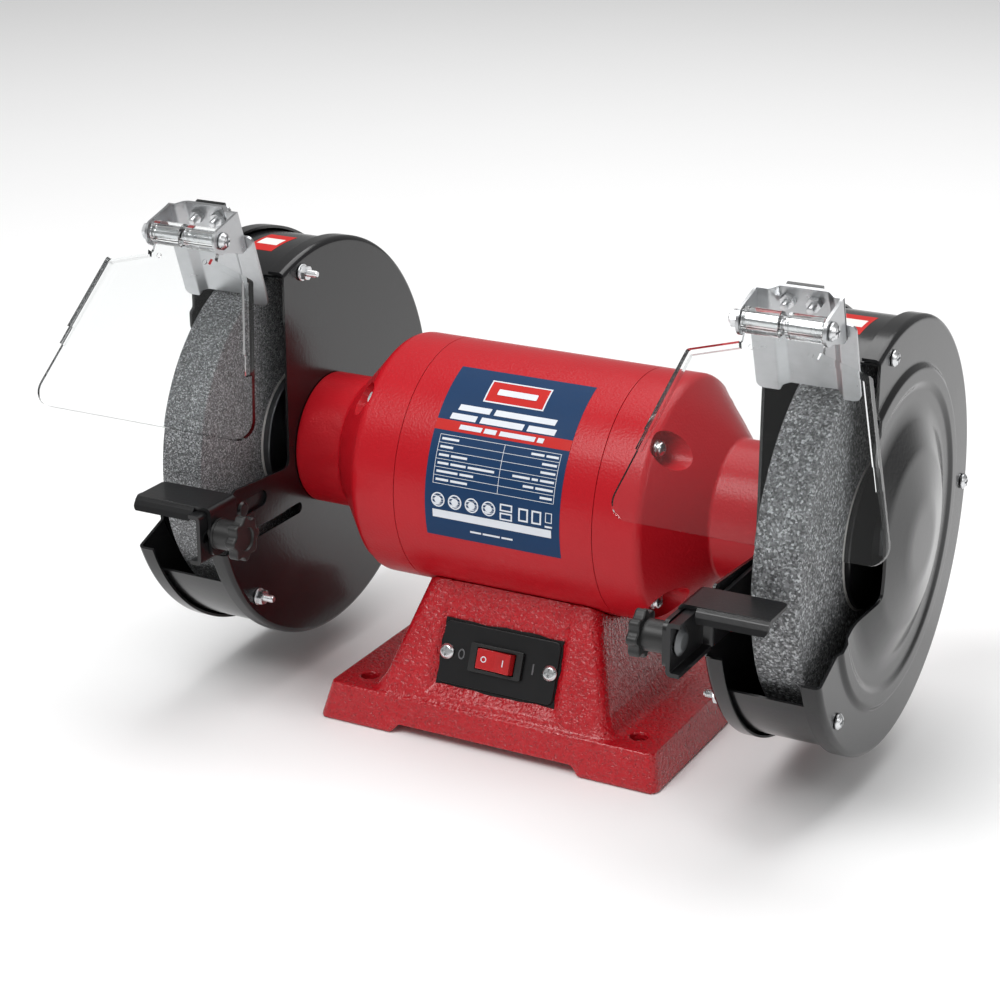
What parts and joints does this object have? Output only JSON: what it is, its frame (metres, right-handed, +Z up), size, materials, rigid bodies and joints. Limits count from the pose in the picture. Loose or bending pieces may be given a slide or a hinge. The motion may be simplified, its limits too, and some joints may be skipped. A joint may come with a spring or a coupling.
{
  "type": "bench grinder",
  "caption": "Twin-wheel bench grinder: motor on a cast pedestal, a guarded abrasive wheel at each end of the spindle, sliding tool rests, spark arresters and hinged clear eye shields.",
  "frame": {"origin": "bench level, under the middle of the whole machine's bounding box", "axes": "+X along the spindle towards the right-hand wheel, front (operator) is -Y, +Z up"},
  "size_m": [0.4772, 0.2622, 0.2824],
  "materials": {
    "red_hammered_enamel": "glossy red enamel, hammered on the casting",
    "red_smooth_enamel": "glossy smooth red enamel on the motor",
    "black_gloss_enamel": "gloss black enamel on sheet steel",
    "black_satin_enamel": "satin black enamel",
    "zinc_plate": "dull bright zinc plate on steel",
    "bright_steel": "turned bright steel",
    "dark_steel": "oiled dark laminated steel",
    "copper_enamel": "varnished copper winding",
    "grey_abrasive": "open-grained grey aluminium oxide",
    "black_plastic": "moulded black plastic",
    "red_plastic": "glossy moulded red plastic",
    "clear_plastic": "clear polycarbonate"
  },
  "bodies": {
    "root": {"base_casting": "red_hammered_enamel", "bearing_left": "bright_steel", "bearing_right": "bright_steel", "bottom_cover": "zinc_plate", "cable_gland": "black_plastic", "capacitor": "black_plastic", "cover_screw_left_1": "zinc_plate", "cover_screw_left_2": "zinc_plate", "cover_screw_left_3": "zinc_plate", "cover_screw_right_1": "zinc_plate", "cover_screw_right_2": "zinc_plate", "cover_screw_right_3": "zinc_plate", "end_bell_left": "red_smooth_enamel", "end_bell_right": "red_smooth_enamel", "guard_band_left": "black_gloss_enamel", "guard_band_right": "black_gloss_enamel", "guard_inner_pan_left": "black_gloss_enamel", "guard_inner_pan_right": "black_gloss_enamel", "guard_outer_cover_left": "black_gloss_enamel", "guard_outer_cover_right": "black_gloss_enamel", "motor_shell": "red_smooth_enamel", "pivot_bolt_left": "zinc_plate", "pivot_bolt_right": "zinc_plate", "shield_bracket_left": "zinc_plate", "shield_bracket_right": "zinc_plate", "stator_core": "dark_steel", "switch_housing": "black_plastic", "switch_plate": "black_satin_enamel", "switch_plate_screw_left": "bright_steel", "switch_plate_screw_right": "bright_steel", "tie_bolt_1": "dark_steel", "tie_bolt_2": "dark_steel", "tie_bolt_3": "dark_steel", "tie_bolt_4": "dark_steel", "tool_rest_arm_left": "black_satin_enamel", "tool_rest_arm_right": "black_satin_enamel", "winding_left": "copper_enamel", "winding_right": "copper_enamel"},
    "spindle": {"grinding_wheel_left": "grey_abrasive", "grinding_wheel_right": "grey_abrasive", "inner_flange_left": "dark_steel", "inner_flange_right": "dark_steel", "outer_flange_left": "black_satin_enamel", "outer_flange_right": "black_satin_enamel", "rotor_core": "dark_steel", "spindle_nut_left": "dark_steel", "spindle_nut_right": "dark_steel", "spindle_shaft": "bright_steel"},
    "switch_rocker": {"switch_rocker": "red_plastic"},
    "tool_rest_left": {"rest_bolt_left": "zinc_plate", "tool_rest_left": "black_satin_enamel"},
    "tool_rest_knob_left": {"tool_rest_knob_left": "black_plastic"},
    "spark_arrester_left": {"spark_arrester_left": "zinc_plate"},
    "eye_shield_left": {"eye_shield_left": "clear_plastic"},
    "tool_rest_right": {"rest_bolt_right": "zinc_plate", "tool_rest_right": "black_satin_enamel"},
    "tool_rest_knob_right": {"tool_rest_knob_right": "black_plastic"},
    "spark_arrester_right": {"spark_arrester_right": "zinc_plate"},
    "eye_shield_right": {"eye_shield_right": "clear_plastic"}
  },
  "joints": [
    {"name": "spindle_spin", "type": "hinge", "parent": "root", "child": "spindle", "pos_m": [0, 0.018, 0.134], "axis": [1, 0, 0], "continuous": true},
    {"name": "rest_slide_left", "type": "slide", "parent": "root", "child": "tool_rest_left", "axis": [0, 1, 0], "range_m": [-0.007, 0.0025]},
    {"name": "knob_turn_left", "type": "hinge", "parent": "tool_rest_left", "child": "tool_rest_knob_left", "pos_m": [-0.12, -0.104, 0.118], "axis": [-1, 0, 0], "range_deg": [0, 360]},
    {"name": "arrester_slide_left", "type": "slide", "parent": "root", "child": "spark_arrester_left", "axis": [0, -0.3256, 0.9455], "range_m": [-0.0005, 0.0025]},
    {"name": "shield_swing_left", "type": "hinge", "parent": "root", "child": "eye_shield_left", "pos_m": [-0.1709, -0.066, 0.2653], "axis": [1, 0, 0], "range_deg": [-70, 12]},
    {"name": "rest_slide_right", "type": "slide", "parent": "root", "child": "tool_rest_right", "axis": [0, 1, 0], "range_m": [-0.005, 0.0025]},
    {"name": "knob_turn_right", "type": "hinge", "parent": "tool_rest_right", "child": "tool_rest_knob_right", "pos_m": [0.12, -0.118, 0.118], "axis": [1, 0, 0], "range_deg": [0, 360]},
    {"name": "arrester_slide_right", "type": "slide", "parent": "root", "child": "spark_arrester_right", "axis": [0, -0.3256, 0.9455], "range_m": [-0.0025, 0.0025]},
    {"name": "shield_swing_right", "type": "hinge", "parent": "root", "child": "eye_shield_right", "pos_m": [0.1709, -0.083, 0.2685], "axis": [1, 0, 0], "range_deg": [-70, 8]},
    {"name": "rocker_tilt", "type": "hinge", "parent": "root", "child": "switch_rocker", "pos_m": [-0.00075, -0.04114, 0.04659], "axis": [0, 0.3633, 0.9317], "range_deg": [0, 16]}
  ]
}
